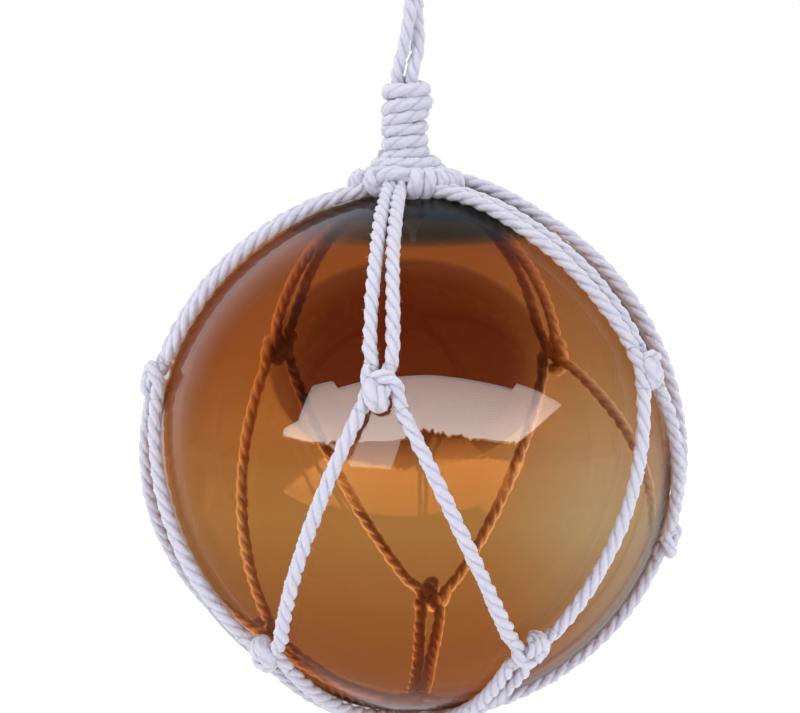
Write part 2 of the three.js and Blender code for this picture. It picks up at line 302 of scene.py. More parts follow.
class MeshBuilder:
    """Gathers closed shapes into one mesh, with a UV map of distance along and share around."""

    def __init__(self):
        self.points, self.faces, self.maps, self.count = [], [], [], 0

    def add(self, points, faces, maps):
        """Adds a closed shape with its own triangles and their corners on the map."""
        self.points.append(points)
        self.faces.append(faces + self.count)
        self.maps.append(maps)
        self.count += len(points)

    def tube(self, rings, along):
        """A closed tube through the rings, as triangles."""
        count, around = rings.shape[:2]
        index = np.arange(count * around).reshape(count, around)
        beside = np.roll(index, -1, axis=1)
        quads = np.stack((index[:-1], beside[:-1], beside[1:], index[1:]), axis=-1).reshape(-1, 4)
        edges = np.arange(around + 1) / around
        low, high = (np.repeat(ends, around) for ends in (along[:-1], along[1:]))
        left, right = (np.tile(edge, count - 1) for edge in (edges[:-1], edges[1:]))
        pairs = ((low, left), (low, right), (high, right), (high, left))
        corners = np.stack([np.stack(pair, axis=-1) for pair in pairs], axis=1)
        sides = np.concatenate((quads[:, [0, 1, 2]], quads[:, [0, 2, 3]]))
        side_maps = np.concatenate((corners[:, [0, 1, 2]], corners[:, [0, 2, 3]]))
        points = rings.reshape(-1, 3)
        first, last = len(points), len(points) + 1
        start = np.stack((np.full(around, first), beside[0], index[0]), axis=-1)
        end = np.stack((np.full(around, last), index[-1], beside[-1]), axis=-1)
        points = np.vstack((points, rings[0].mean(axis=0), rings[-1].mean(axis=0)))
        caps = np.concatenate((start, end))
        cap_maps = np.zeros((len(caps), 3, 2))
        cap_maps[:around, :, 0] = along[0]
        cap_maps[around:, :, 0] = along[-1]
        self.add(points, np.concatenate((sides, caps)), np.concatenate((side_maps, cap_maps)))

    def fibres(self, cord, part, settings):
        """Thin bent needles that stand off a part of the cord."""
        rings, along, draw = cord.rings[part], cord.along[part], cord.draw
        number = int((along[-1] - along[0]) / MM * settings.fibres_per_mm)
        for _ in range(number):
            ring = draw.integers(0, len(rings))
            point = draw.integers(0, RING_POINTS)
            root = rings[ring, point]
            outward = unit(root - cord.line[part][ring])
            lean = draw.uniform(-FIBRE_LEAN, FIBRE_LEAN)
            aim = unit(outward + cord.tangent[part][ring] * lean + draw.normal(0, FIBRE_STRAY, 3))
            bend = unit(aim + draw.normal(0, FIBRE_BEND, 3))
            reach = draw.uniform(FIBRE_SHORTEST, 1.0) ** 2 * settings.fibre_length
            self.needle(root - outward * FIBRE_ROOT, aim, bend, reach, settings.fibre_width / 2, along[ring])

    def needle(self, root, aim, bend, reach, radius, place):
        """A three-sided needle with a bend at half its length."""
        middle = root + aim * reach * 0.5
        tip = middle + bend * reach * 0.5
        side = unit(np.cross(aim, (0.31, 0.52, 0.79)))
        other = np.cross(aim, side)
        turns = np.arange(3) * 2 * math.pi / 3
        circle = np.cos(turns)[:, None] * side + np.sin(turns)[:, None] * other
        points = np.vstack((root + circle * radius, middle + circle * radius * FIBRE_TAPER, tip))
        faces = []
        for k in range(3):
            n = (k + 1) % 3
            faces += [(k, n, 3 + n), (k, 3 + n, 3 + k), (3 + k, 3 + n, 6)]
        faces.append((2, 1, 0))
        maps = np.zeros((len(faces), 3, 2))
        maps[..., 0] = place
        maps[..., 1] = 0.5 / STRANDS
        self.add(points, np.array(faces), maps)

    def piece(self, name, material):
        """The finished object, with the ball's centre put in its place."""
        points = np.vstack(self.points) + BALL_CENTRE
        faces = np.vstack(self.faces)
        mesh = bpy.data.meshes.new(name)
        mesh.vertices.add(len(points))
        mesh.vertices.foreach_set("co", points.ravel())
        mesh.loops.add(faces.size)
        mesh.loops.foreach_set("vertex_index", faces.ravel())
        mesh.polygons.add(len(faces))
        mesh.polygons.foreach_set("loop_start", np.arange(0, faces.size, 3))
        mesh.polygons.foreach_set("loop_total", np.full(len(faces), 3))
        mesh.polygons.foreach_set("use_smooth", np.full(len(faces), True))
        layer = mesh.uv_layers.new(name="lay")
        layer.data.foreach_set("uv", np.vstack([m.reshape(-1, 2) for m in self.maps]).ravel())
        mesh.update(calc_edges=True)
        mesh.validate()
        mesh.materials.append(material)
        return add_object(name, mesh)


# The net's cords

def pair_route(knot, side, end):
    """The run of one cord of a pair, from the collar (end = 1) or the bottom ring (end = -1) to a knot."""
    reach = COLLAR_REACH if end > 0 else BOTTOM_REACH
    leaves = knot["exit"] if end > 0 else knot["azimuth"]
    via = [compass(*place) * LAY_RADIUS for place in knot.get("via", [])]
    way = [ring_exit(leaves, reach, end), *via, beside_knot(knot, 0, 0, 0)]

    def offset(t):
        """How far to the side the cord lies, by its share of the run."""
        parting = smoothstep(t, *PAIR_PARTS) - smoothstep(t, *PAIR_CLOSES)
        return side * (PAIR_TOUCH + (PAIR_OFFSET - PAIR_TOUCH) * t + PAIR_BOW * parting)

    return ball_route(way, offset)


def middle_route(knot, lower, side):
    """The run of a single cord from an upper knot to a lower one."""
    start = beside_knot(knot, side * UPPER_SPREAD, 0, 0)
    end = beside_knot(lower, -side * LOWER_SPREAD, 0, 0)
    return ball_route([start, end])


def stay_route():
    """The run of the odd single cord, from the collar to the lower knot on the right."""
    via = [compass(*place) * LAY_RADIUS for place in STAY_VIA]
    way = [ring_exit(STAY_EXIT, COLLAR_REACH, 1), *via, beside_knot(LOWER_KNOTS[1], 0, 0, 0)]
    return ball_route(way, rise=lambda t: STAY_RISE * (1 - smoothstep(t, 0, STAY_SETTLES)))


# The ways through a knot, east, north and out from its middle in cord diameters. The left-hand cord
# runs down its side, the right-hand one dips under the bar and folds over into the knot's nose, and
# the bar turns down into the right-hand leg. A lower knot is the same turned half round.
KNOT_SIDE = [(-0.95, 1.2, 0.03), (-0.9, 0.65, 0.12), (-0.85, 0.15, 0.12), (-0.95, -0.35, 0.05)]
KNOT_BAR = [
    (-0.55, 0.25, 0.0), (-0.52, 0.52, 0.3), (0.05, 0.56, 0.82), (0.68, 0.42, 0.66), (1.0, 0.02, 0.32),
    (1.12, -0.4, 0.08),
]
KNOT_NOSE = [
    (0.42, 1.25, 0.0), (0.38, 0.7, 0.0), (0.28, 0.15, 0.3), (0.12, -0.4, 0.66), (0.02, -1.0, 0.6),
    (-0.02, -1.2, 0.15), (-0.02, -0.7, 0.0),
]
KNOT_FILL = [
    (0.0, 0.45, 0.2), (-0.42, 0.15, 0.45), (-0.5, -0.3, 0.55), (-0.36, -0.8, 0.45), (-0.15, -1.05, 0.2),
    (0.0, -0.8, 0.0),
]
KNOT_FILL_THICKNESS = 1.3

# How far the seeds of the cords of one run lie apart
SEED_STEP = 50

# A cord's upper end in the collar: the reach and height of its points in millimetres. The two ends of
# a pair lie so many degrees to both sides of their exit.
COLLAR_WAY = ((3.6, 90), (4.4, 87), (6.2, 83.6), (10.2, 80.3))
COLLAR_SPREAD = 10


def knot_way(knot, way, turn):
    """The points of a way through a knot. turn is 1, or -1 for a knot turned half round."""
    places = np.array(way) * (turn, turn, 1) * CORD_DIAMETER
    return [beside_knot(knot, *place) for place in places]


def collar_end(azimuth):
    """The way of a cord's upper end, from inside the neck out to where it leaves the collar."""
    turn = math.radians(azimuth)
    out = np.array((math.sin(turn), -math.cos(turn)))
    way = []
    for reach, height in COLLAR_WAY:
        x, y = out * reach * MM
        way.append((NECK_X + x, y, height * MM))
    return way


class Run:
    """A cord of the net that is made in one length and then cut at its knots."""

    def __init__(self):
        self.points, self.marks = [], []

    def through(self, points):
        """Lays the cord on through more points."""
        self.points.extend(points)
        return self

    def mark(self, name):
        """The stretch from the last mark to here belongs to that node."""
        self.marks.append((len(self.points) - 1, name))
        return self

    def stretches(self, seed, settings, **looks):
        """Each node's name with its stretch of the finished cord."""
        points = np.array(self.points)
        fine = spline(points, np.linspace(0, 1, (len(points) - 1) * CURVE_STEPS + 1))
        along = distances(fine)
        places = [along[index * CURVE_STEPS] for index, _ in self.marks]
        cord = Cord(resampled(fine, RING_STEP), seed, settings, **looks)
        start = 0.0
        made = []
        for place, (_, name) in zip(places, self.marks):
            made.append((name, cord.cut(start, place)))
            start = place
        return made


def net_stretches(settings):
    """Every stretch of the net's cords, as lists by the name of the node that each belongs to."""
    found = {}

    def keep(stretches):
        """Adds stretches to the lists of their nodes."""
        for name, part in stretches:
            found.setdefault(name, []).append(part)

    seed = 0
    for index, knot in enumerate(UPPER_KNOTS):
        for side, letter in ((1, "a"), (-1, "b")):
            seed += 1
            lower = LOWER_KNOTS[index - 1] if letter == "a" else LOWER_KNOTS[index]
            upper_name, lower_name = f"upper_knot_{knot['name']}", f"lower_knot_{lower['name']}"
            top = stretch(pair_route(knot, side, 1), 0, -KNOT_REACH)
            middle = stretch(middle_route(knot, lower, -side), KNOT_REACH, -KNOT_REACH)
            bottom = stretch(pair_route(lower, side, -1), 0, -KNOT_REACH)[::-1]
            run = Run().through(collar_end(knot["exit"] - COLLAR_SPREAD * side)).mark("top_collar")
            run.through(top).mark(f"upper_cord_{knot['name']}_{letter}")
            if letter == "a":
                run.through(knot_way(knot, KNOT_SIDE, 1))
            else:
                run.through(knot_way(knot, KNOT_NOSE, 1)).mark(upper_name)
                keep(run.stretches(seed + SEED_STEP, settings))
                run = Run().through(knot_way(knot, KNOT_BAR, 1))
            run.through(middle[:1]).mark(upper_name)
            run.through(middle[1:]).mark(f"middle_cord_{knot['name']}_{letter}")
            if letter == "a":
                run.through(knot_way(lower, KNOT_SIDE[::-1], -1))
            else:
                run.through(knot_way(lower, KNOT_BAR[::-1], -1)).mark(lower_name)
                keep(run.stretches(seed + 2 * SEED_STEP, settings))
                run = Run().through(knot_way(lower, KNOT_NOSE[::-1], -1))
            run.through(bottom[:1]).mark(lower_name)
            run.through(bottom[1:]).mark(f"lower_cord_{lower['name']}_{letter}")
            run.through([bottom[-1] * BOTTOM_TUCK]).mark("bottom_ring")
            keep(run.stretches(seed + 3 * SEED_STEP, settings))
    for row, knots, turn in (("upper", UPPER_KNOTS, 1), ("lower", LOWER_KNOTS, -1)):
        for knot in knots:
            seed += 1
            fill = Run().through(knot_way(knot, KNOT_FILL, turn)).mark(f"{row}_knot_{knot['name']}")
            looks = {"thickness": KNOT_FILL_THICKNESS, "groove": settings.wound_groove}
            keep(fill.stretches(seed, settings, **looks))
    stay = Run().through(collar_end(STAY_EXIT)).mark("top_collar")
    stay.through(stretch(stay_route(), 0, -STAY_REACH)).mark("stay_cord")
    stay.through([beside_knot(LOWER_KNOTS[1], 0, STAY_TUCK, 0)]).mark("lower_knot_right")
    keep(stay.stretches(seed + 1, settings))
    return found


# The wound cords of the neck, the collar and the bottom ring

# The heights of the whipping's turns on the left of the neck, from the lowest up
TURN_HEIGHTS = np.array((82.0, 85.6, 89.4, 93.1, 96.6, 100.0, 104.1, 107.9)) * MM
# How far the turns rise to the right, in mm, after so many turns
TURN_SLANTS = [(0, 0.0), (1.5, 0.3), (3.0, -0.5), (4.6, 0.9), (6.0, -0.7), (7, 0.0)]
TURN_BITE = 0.9 * CORD_RADIUS
# The cord's end swells two turns on the right, the foot flares, and the top closes in
SWELL_HEIGHT = 103.5 * MM
SWELL_REACH = 2.8 * MM
SWELL_WIDTH = 0.5
SWELL = 1.7 * MM
FLARE_TOP = 88 * MM
FLARE_REACH = 6 * MM
FLARE = 2.2 * MM
TAPER_HEIGHTS = (104 * MM, 108 * MM)
TAPER = 0.8 * MM
TUCK_TURNS = 0.3
TUCK = 2.4 * MM


def whipping_shape(done, angle):
    """A close whipping, with the cord's end buried under two turns on the right."""
    turns = len(TURN_HEIGHTS) - 1
    height = np.interp(done, np.arange(turns + 1), TURN_HEIGHTS)
    height = height + np.interp(done, *zip(*TURN_SLANTS)) * MM * np.cos(angle)
    swell = np.exp((np.cos(angle) - 1) / SWELL_WIDTH - ((height - SWELL_HEIGHT) / SWELL_REACH) ** 2)
    flare = np.clip((FLARE_TOP - height) / FLARE_REACH, 0, 1) ** 2
    taper = smoothstep(height, *TAPER_HEIGHTS)
    tuck = smoothstep(done, turns - TUCK_TURNS, turns)
    radius = NECK_RADIUS - TURN_BITE + swell * SWELL + flare * FLARE - taper * TAPER - tuck * TUCK
    return radius, height


# The collar's turns: the lowest one, how far each further one draws in and rises, and how far they
# all lean out to the right and drop there and in front
COLLAR_RADIUS = 12.4 * MM
COLLAR_DRAW_IN = 1.95 * MM
COLLAR_HEIGHT = 78.0 * MM
COLLAR_PITCH = 2.6 * MM
COLLAR_ASIDE = 0.8 * MM
COLLAR_DROP_RIGHT = 0.4 * MM
COLLAR_DROP_FRONT = 0.3 * MM
# Where the lowest turn passes over the front pair, and how far it stands out and up there
COVER_ANGLE = math.radians(-102)
COVER_WIDTH = 0.08
COVER_ENDS = (0.9, 1.2)
COVER_OUT = 0.9 * MM
COVER_UP = 3.0 * MM


def collar_shape(done, angle):
    """Nearly three turns of cord over the upper ends of the net, lower in front and on the right."""
    right, back = np.cos(angle), np.sin(angle)
    over = np.exp((np.cos(angle - COVER_ANGLE) - 1) / COVER_WIDTH) * (1 - smoothstep(done, *COVER_ENDS))
    radius = COLLAR_RADIUS - COLLAR_DRAW_IN * done + COLLAR_ASIDE * right + over * COVER_OUT
    drop = COLLAR_DROP_RIGHT * right - COLLAR_DROP_FRONT * back
    height = COLLAR_HEIGHT + COLLAR_PITCH * done - drop + over * COVER_UP
    return radius, height


# The wraps round the collar's rim: from and to which azimuth, the turns, then the reach, the height and
# the size in millimetres, and last the seed
COLLAR_WRAPS = (
    (2, 72, 5.3, 14.6, 78.0, 2.6, 312),
    (-26, -100, 3.2, 13.0, 78.4, 1.9, 313),
    (112, 236, 5.2, 13.0, 78.4, 1.9, 314),
)
WRAP_START = 2.2
WRAP_THICKNESS = 1.1


def collar_wrap(start, end, turns, reach, height, size):
    """A cord wound slantwise round the collar's rim, between two azimuths."""
    share = np.linspace(0, 1, int(turns * WRAP_STEPS))
    azimuth = np.radians(start + (end - start) * share)
    angle = 2 * math.pi * turns * share + WRAP_START
    out = (reach + size * np.cos(angle)) * MM
    x, y = NECK_X + out * np.sin(azimuth), -out * np.cos(azimuth)
    return resampled(np.column_stack((x, y, (height + size * np.sin(angle)) * MM)), RING_STEP)


# The ring under the ball: between which turns it winds inwards, and the radius of the button there
BOTTOM_INWARDS = (0.85, 1.9)
BUTTON_RADIUS = 1.6 * MM


def bottom_shape(done, angle):
    """A flat ring that winds on inwards to a button."""
    radius = BOTTOM_RADIUS - smoothstep(done, *BOTTOM_INWARDS) * (BOTTOM_RADIUS - BUTTON_RADIUS)
    return radius, np.full_like(radius, -LAY_RADIUS)


# The wound cord of each node: its axis, turns, first angle, shape, seed and thickness
WINDINGS = {
    "top_collar": (NECK_X, 2.9, 200, collar_shape, 311, 1.2),
    "bottom_ring": (0.0, 3.1, 40, bottom_shape, 321, 1.0),
    "whipped_neck": (NECK_X, 7, 180, whipping_shape, 301, 1.1),
}


def windings(name, settings):
    """The wound cord of a node, and with the collar's also the wraps over its rim."""
    axis, turns, start, shape, *looks = WINDINGS[name]
    done = np.linspace(0, turns, int(turns * WOUND_STEPS))
    angle = math.radians(start) + done * 2 * math.pi
    radius, height = shape(done, angle)
    line = np.column_stack((axis + radius * np.cos(angle), radius * np.sin(angle), height))
    cords = [(resampled(line, RING_STEP), *looks)]
    if name == "top_collar":
        cords += [(collar_wrap(*way), seed, WRAP_THICKNESS) for *way, seed in COLLAR_WRAPS]
    groove = settings.wound_groove
    return [Cord(line, seed, settings, thickness, groove).cut() for line, seed, thickness in cords]


def loop_leg(side):
    """One leg of the hanging loop, from its foot to the bend. side is -1 for the one on the left."""
    bend = LOOP_RISE + CORD_RADIUS - LOOP_BEND
    # The height, the distance from the middle and the share of the twist
    way = [
        (NECK_TOP + 3 * GAP, PAIR_OFFSET, 0),
        (NECK_TOP + 7 * MM, PAIR_OFFSET + 0.2 * MM, 0.3),
        (NECK_TOP + 18 * MM, PAIR_OFFSET + 1 * MM, 0.8),
        (bend - LOOP_BEND, LOOP_BEND - 1 * MM, 1),
        (bend, LOOP_BEND, 1),
    ]
    points = []
    for height, spread, share in way:
        middle = NECK_X * (1 - smoothstep(height, NECK_TOP, NECK_TOP + LOOP_CENTRES))
        angle = math.radians(LOOP_TWIST * share)
        reach = side * spread
        points.append((middle + reach * math.cos(angle), reach * math.sin(angle), height))
    return points


def loop_line():
    """The hanging loop's whole line, from inside the whipping round the bend and back."""
    top = (0, 0, LOOP_RISE + CORD_RADIUS)
    buried = [(NECK_X + side * PAIR_OFFSET, 0, NECK_TOP - LOOP_BURIED) for side in (-1, 1)]
    points = [buried[0], *loop_leg(-1), top, *reversed(loop_leg(1)), buried[1]]
    return resampled(spline(points, np.linspace(0, 1, len(points) * CURVE_STEPS)), RING_STEP)


# Node trees

def add_node(tree, kind, links=None, **values):
    """A new node with its settings and input values, and with links into its inputs."""
    made = tree.nodes.new(kind)
    for key, value in values.items():
        if hasattr(made, key):
            setattr(made, key, value)
        else:
            made.inputs[key.replace("_", " ")].default_value = value
    for key, source in (links or {}).items():
        tree.links.new(source, made.inputs[key])
    return made


def maths(tree, operation, *values):
    """The result of a sum. Each of its values is a number or another node's output."""
    made = add_node(tree, "ShaderNodeMath", operation=operation)
    for place, value in zip(made.inputs, values):
        if isinstance(value, (int, float)):
            place.default_value = value
        else:
            tree.links.new(value, place)
    return made.outputs[0]


def fade(tree, source, low, high, start=0.0, end=1.0, curve="SMOOTHSTEP"):
    """A value that runs from start to end while its source runs from low to high."""
    ends = {"From_Min": low, "From_Max": high, "To_Min": start, "To_Max": end}
    made = add_node(tree, "ShaderNodeMapRange", {"Value": source}, interpolation_type=curve, **ends)
    return made.outputs[0]


def blend(tree, share, first, second, kind="MULTIPLY"):
    """The first colour with a share of the second. Each is a colour or another node's output."""
    made = add_node(tree, "ShaderNodeMix", data_type="RGBA", blend_type=kind)
    for key, value in (("Factor", share), ("A", first), ("B", second)):
        if isinstance(value, bpy.types.NodeSocket):
            tree.links.new(value, made.inputs[key])
        else:
            made.inputs[key].default_value = value if key == "Factor" else (*value, 1)
    return made.outputs["Result"]


def noise(tree, place, **values):
    """A noise pattern's value at a place."""
    return add_node(tree, "ShaderNodeTexNoise", {"Vector": place}, **values).outputs["Fac"]


def axes(tree, place):
    """The three parts of a place."""
    return add_node(tree, "ShaderNodeSeparateXYZ", {0: place}).outputs


def coordinates(tree, kind="Object"):
    """A place on the surface, or a direction in the world."""
    return add_node(tree, "ShaderNodeTexCoord").outputs[kind]


def bumped(tree, shader, height, strength, distance):
    """Gives the shader a bumpy surface."""
    bump = add_node(tree, "ShaderNodeBump", {"Height": height}, Strength=strength, Distance=distance)
    tree.links.new(bump.outputs["Normal"], shader.inputs["Normal"])


def mixed(tree, out, share, first, second):
    """Sends a share of the second shader and the rest of the first to the tree's output."""
    mix = add_node(tree, "ShaderNodeMixShader", {0: share, 1: first.outputs[0], 2: second.outputs[0]})
    tree.links.new(mix.outputs[0], out.inputs["Surface"])


def new_material(name, **finish):
    """A material with its node tree and its shader, which gets the finish on its own inputs."""
    material = bpy.data.materials.new(name)
    material.use_nodes = True
    tree = material.node_tree
    shader = tree.nodes["Principled BSDF"]
    for key, value in finish.items():
        shader.inputs[key.replace("_", " ")].default_value = value
    return material, tree, shader


# Materials

def cotton_material(settings):
    """White cotton: fibres along the cord, shade between the strands and a soft sheen."""
    material, tree, shader = new_material(
        "cotton_cord",
        Roughness=0.92,
        Specular_IOR_Level=0.2,
        Sheen_Weight=0.25,
        Sheen_Roughness=0.5,
        Subsurface_Weight=settings.softness,
        Subsurface_Radius=(1.0, 1.0, 1.0),
        Subsurface_Scale=1.6 * MM,
    )
    lay = add_node(tree, "ShaderNodeUVMap", uv_map="lay")
    along, around, _ = axes(tree, lay.outputs["UV"])

    # The yarn runs straight along the twisting strands
    straight = maths(tree, "SUBTRACT", around, maths(tree, "DIVIDE", along, settings.lay_length))
    place = add_node(tree, "ShaderNodeCombineXYZ", {"X": along, "Y": straight})
    drawn_out = add_node(tree, "ShaderNodeMapping", {"Vector": place.outputs[0]}, Scale=(420, 34, 1))
    yarn = noise(tree, drawn_out.outputs[0], Scale=1.0, Detail=3.0, Roughness=0.6)

    # The grooves hold shade, and the cotton is yellower in patches
    fold = maths(tree, "FRACT", maths(tree, "MULTIPLY", around, STRANDS))
    depth = maths(tree, "ABSOLUTE", maths(tree, "SUBTRACT", fold, 0.5))
    shade = fade(tree, depth, 0.3, 0.5, curve="LINEAR")
    patch = noise(tree, coordinates(tree), Scale=55.0, Detail=2.0)
    colour = blend(tree, patch, settings.cord_colour, settings.cord_colour_warm, "MIX")
    colour = blend(tree, shade, colour, settings.groove_shade)
    colour = blend(tree, 1.0, colour, fade(tree, yarn, 0.0, 1.0, 0.8, 1.1, "LINEAR"))
    tree.links.new(colour, shader.inputs["Base Color"])
    bumped(tree, shader, yarn, 0.6, 0.25 * MM)
    return material


# The glass's tint at heights in a unit ball that leans with the light through it, and the middle and
# size of its thicker patch there. The darker cap round the seal, darker glass with the collar's shadow
# painted over it, reaches lower in front, by its lean.
GLASS_LEAN = math.radians(7)
GLASS_TINTS = (
    (-0.80, (0.978, 0.756, 0.57)),
    (-0.30, (0.982, 0.921, 0.769)),
    (0.0, (0.951, 0.815, 0.661)),
    (0.40, (0.85, 0.622, 0.397)),
    (0.75, (0.807, 0.595, 0.413)),
)
STREAKS = 0.09
PATCH_PLACE = (-0.02, 0.36)
PATCH_SIZE = (0.585, 0.44)
PATCH_EDGE = 0.7
CAP_LEAN = 0.22
CAP_EDGE = 0.885
CAP_BLUR = 0.01


def glass_material(settings):
    """Amber glass: its tint runs down the ball, a patch of the back is thicker and the top is darker glass,
    with the collar's shadow painted over it.
    """
    material, tree, shader = new_material("amber_glass", Roughness=0.0, IOR=1.5, Transmission_Weight=1.0)
    where = coordinates(tree)
    ball = add_node(
        tree,
        "ShaderNodeMapping",
        {"Vector": where},
        vector_type="TEXTURE",
        Location=BALL_CENTRE,
        Rotation=(-GLASS_LEAN, 0, 0),
        Scale=(BALL_RADIUS, BALL_RADIUS, BALL_RADIUS),
    )
    across, inwards, upwards = axes(tree, ball.outputs[0])

    def product(first, *others):
        """All the values multiplied together."""
        for value in others:
            first = maths(tree, "MULTIPLY", first, value)
        return first

    # The tint down the ball, with the faint level streaks of the blowing, deeper on the left
    level_map = add_node(tree, "ShaderNodeMapping", {"Vector": ball.outputs[0]}, Scale=(0.8, 0.8, 5))
    streaks = noise(tree, level_map.outputs[0], Scale=1.6, Detail=3.0, Distortion=0.8)
    level = maths(tree, "ADD", product(streaks, STREAKS), product(upwards, 0.5))
    ramp = add_node(tree, "ShaderNodeValToRGB", {"Fac": maths(tree, "ADD", level, 0.5 - STREAKS / 2)})
    ends = ramp.color_ramp.elements
    while len(ends) < len(GLASS_TINTS):
        ends.new(0.5)
    for stop, (height, tint) in zip(ends, GLASS_TINTS):
        stop.position = 0.5 + 0.5 * height
        stop.color = (*tint, 1)
    left = fade(tree, product(across, -1.0), -0.8, -0.2)
    colour = blend(tree, left, ramp.outputs["Color"], settings.left_tint)

    # The thicker patch: an ellipse on the upper back that fades out below
    aside, above = (
        maths(tree, "DIVIDE", maths(tree, "SUBTRACT", place, middle), size)
        for place, middle, size in zip((across, upwards), PATCH_PLACE, PATCH_SIZE)
    )
    reach = maths(tree, "SQRT", maths(tree, "ADD", product(aside, aside), product(above, above)))
    inside = fade(tree, product(reach, -1.0), -1.012, -0.985)
    deeper = fade(tree, product(reach, -1.0), -1.0, -0.7, PATCH_EDGE, 1.0)
    low_fade = fade(tree, upwards, -0.12, 0.1)
    behind = fade(tree, inwards, 0.0, 0.35)
    colour = blend(tree, product(inside, deeper, low_fade, behind), colour, settings.patch_tint)

    # The darker cap round the seal: darker glass there, with the collar's shadow painted over it
    lowered = maths(tree, "SUBTRACT", upwards, product(inwards, CAP_LEAN))
    cap = fade(tree, lowered, CAP_EDGE - CAP_BLUR, CAP_EDGE + CAP_BLUR)
    colour = blend(tree, product(cap, fade(tree, across, -0.9, 0.1)), colour, settings.cap_tint_and_shade)
    tree.links.new(colour, shader.inputs["Base Color"])

    bumped(tree, shader, noise(tree, where, Scale=28.0, Detail=1.5), 0.25, 0.35 * MM)
    tint = (*settings.tint, 1)
    body = add_node(tree, "ShaderNodeVolumeAbsorption", Color=tint, Density=settings.depth)
    tree.links.new(body.outputs[0], tree.nodes["Material Output"].inputs["Volume"])
    return material


# Settings that a user may change

def number(name, description, default, **limits):
    """A setting that is a plain number."""
    return bpy.props.FloatProperty(name=name, description=description, default=default, **limits)


def colour(name, description, default):
    """A setting that is a colour."""
    texts = {"name": name, "description": description}
    return bpy.props.FloatVectorProperty(**texts, default=default, subtype="COLOR")


class FloatCordSettings(bpy.types.PropertyGroup):
    """The cord's lay, surface and colours."""

    lay_length: number("Lay length", "Length of one full twist of the strands", 14.5 * MM, unit="LENGTH")
    groove: number("Groove", "How deep the grooves between the strands are", 0.8, min=0, max=1.1)
    wound_groove: number("Wound groove", "The same where the cord is wound tight", 0.42, min=0, max=1.1)
    unevenness: number("Unevenness", "How much the thickness varies, as a share", 0.04, min=0, max=0.1)
    fluff: number("Fluff", "Roughness of the surface, as a share of its radius", 0.06, min=0, max=0.2)
    fibres_per_mm: number("Fibres per mm", "Loose fibres for each millimetre of cord", 2.2, min=0)
    fibre_length: number("Fibre length", "Longest loose fibre", 2.0 * MM, unit="LENGTH")
    fibre_width: number("Fibre width", "Thickness of a loose fibre", 0.07 * MM, unit="LENGTH")
    softness: number("Softness", "How much light spreads inside the cotton", 0.6, subtype="FACTOR")
    cord_colour: colour("Cord colour", "Colour of the cotton", (0.575, 0.57, 0.685))
    cord_colour_warm: colour("Cord colour, warm", "Colour of yellowed cotton", (0.575, 0.56, 0.64))
    groove_shade: colour("Groove shade", "Tint between the strands", (0.82, 0.82, 0.88))


class FloatGlassSettings(bpy.types.PropertyGroup):
    """The glass's wall and tints."""

    wall: number("Wall", "Mean thickness of the glass", 1.8 * MM, unit="LENGTH")
    hollow_down: number("Hollow down", "How much thicker the top's wall is", 0.3 * MM, unit="LENGTH")
    hollow_right: number("Hollow right", "How much thicker the left's wall is", 0.1 * MM, unit="LENGTH")
    tint: colour("Tint", "What the glass lets through", (0.80, 0.48, 0.076))
    depth: number("Depth of colour", "How strongly the glass absorbs, per metre", 200.0, min=0)
    left_tint: colour("Left tint", "How much deeper the left of the ball is", (0.94, 0.74, 0.52))
    patch_tint: colour("Patch tint", "What the patch at the back lets through", (0.34, 0.18, 0.24))
    # The cap's colour is darker glass round the seal with the collar's shadow painted over it
    cap_tint_and_shade: colour("Cap tint", "What the smoky cap lets through", (0.13, 0.36, 1.0))


class FloatStageSettings(bpy.types.PropertyGroup):
    """The stage's height and lights."""

    drop: number("Drop", "Height of the ball's underside above the floor", 60 * MM, unit="LENGTH")
    floor_glow: number("Floor glow", "Light that the floor adds", 0.2)
    key: number("Key light", "Power of the main softbox", 9.0, unit="POWER")
    window: number("Window", "Brightness of the window that the glass mirrors", 5.0)
    room: number("Room", "Brightness of the room's sides that the glass mirrors", 0.1)
    behind: number("Behind", "Brightness of what is seen through the glass", 0.6)
    lift: number("Lift behind", "Light added on what is seen through the glass", 0.7)
    wall: number("Far wall", "Brightness of the wall behind that the glass mirrors", 0.5)


# The stage

# The camera: its distance from the ball's centre, its angles in degrees and its lens in millimetres
CAMERA_DISTANCE = 10 * BALL_RADIUS
CAMERA_ELEVATION = 7
CAMERA_DIP = 4.92
CAMERA_TURN = 0.293
CAMERA_LENS = 116.3
CAMERA_SENSOR = 36

# The floor: its paint, and between which distances it gets brighter again behind the glass
FLOOR_RADIUS = 6
FLOOR_PAINT = 0.93
FLOOR_GRAIN = 0.985
FLOOR_LIFT = 3.0
FLOOR_REACH = (0.39, 0.95)
FLOOR_NEAR = 0.73

# The lamps: name, place and share of the key light's power
LAMP_SIZE = 0.9
LAMPS = (("key_light", (-0.9, -0.9, 0.9), 1.0), ("fill_light", (1.0, -0.7, 0.1), 0.3))

# The window in front of the ball, in shares of its distance, from the ball's middle, and its glow at
# the foot and the top
WINDOW_DISTANCE = 1.6
WINDOW_COLOUR = (0.86, 1.0, 1.1, 1)
WINDOW_HEIGHTS = (0.2, 0.8)
WINDOW_SKY = [
    (-1.60, 0.40), (-1.27, 0.45), (-1.24, 0.58), (-1.18, 0.88), (-0.85, 0.86), (-0.74, 0.74), (-0.46, 0.77),
    (-0.12, 0.78), (0.11, 0.80), (0.34, 0.80), (0.62, 0.80), (1.10, 0.81), (1.26, 0.94), (1.87, 0.99),
    (2.88, 1.01), (2.04, 0.67), (1.31, 0.34), (0.96, 0.19),
]
WINDOW_SNOW = [(-0.72, 0.17), (-0.49, 0.0), (-0.16, -0.01), (-0.09, 0.2)]
SKY_GLOW = (1.5, 0.8)
SNOW_GLOW = (0.6, 0.6)
SKYLINE = [
    (0.96, 0.19), (0.69, 0.21), (0.45, 0.22), (0.28, 0.24), (0.09, 0.28), (-0.09, 0.2), (-0.72, 0.17),
    (-1.6, 0.30),
]
TREES = 120
TREE_TIPS = (-0.012, 0.035)

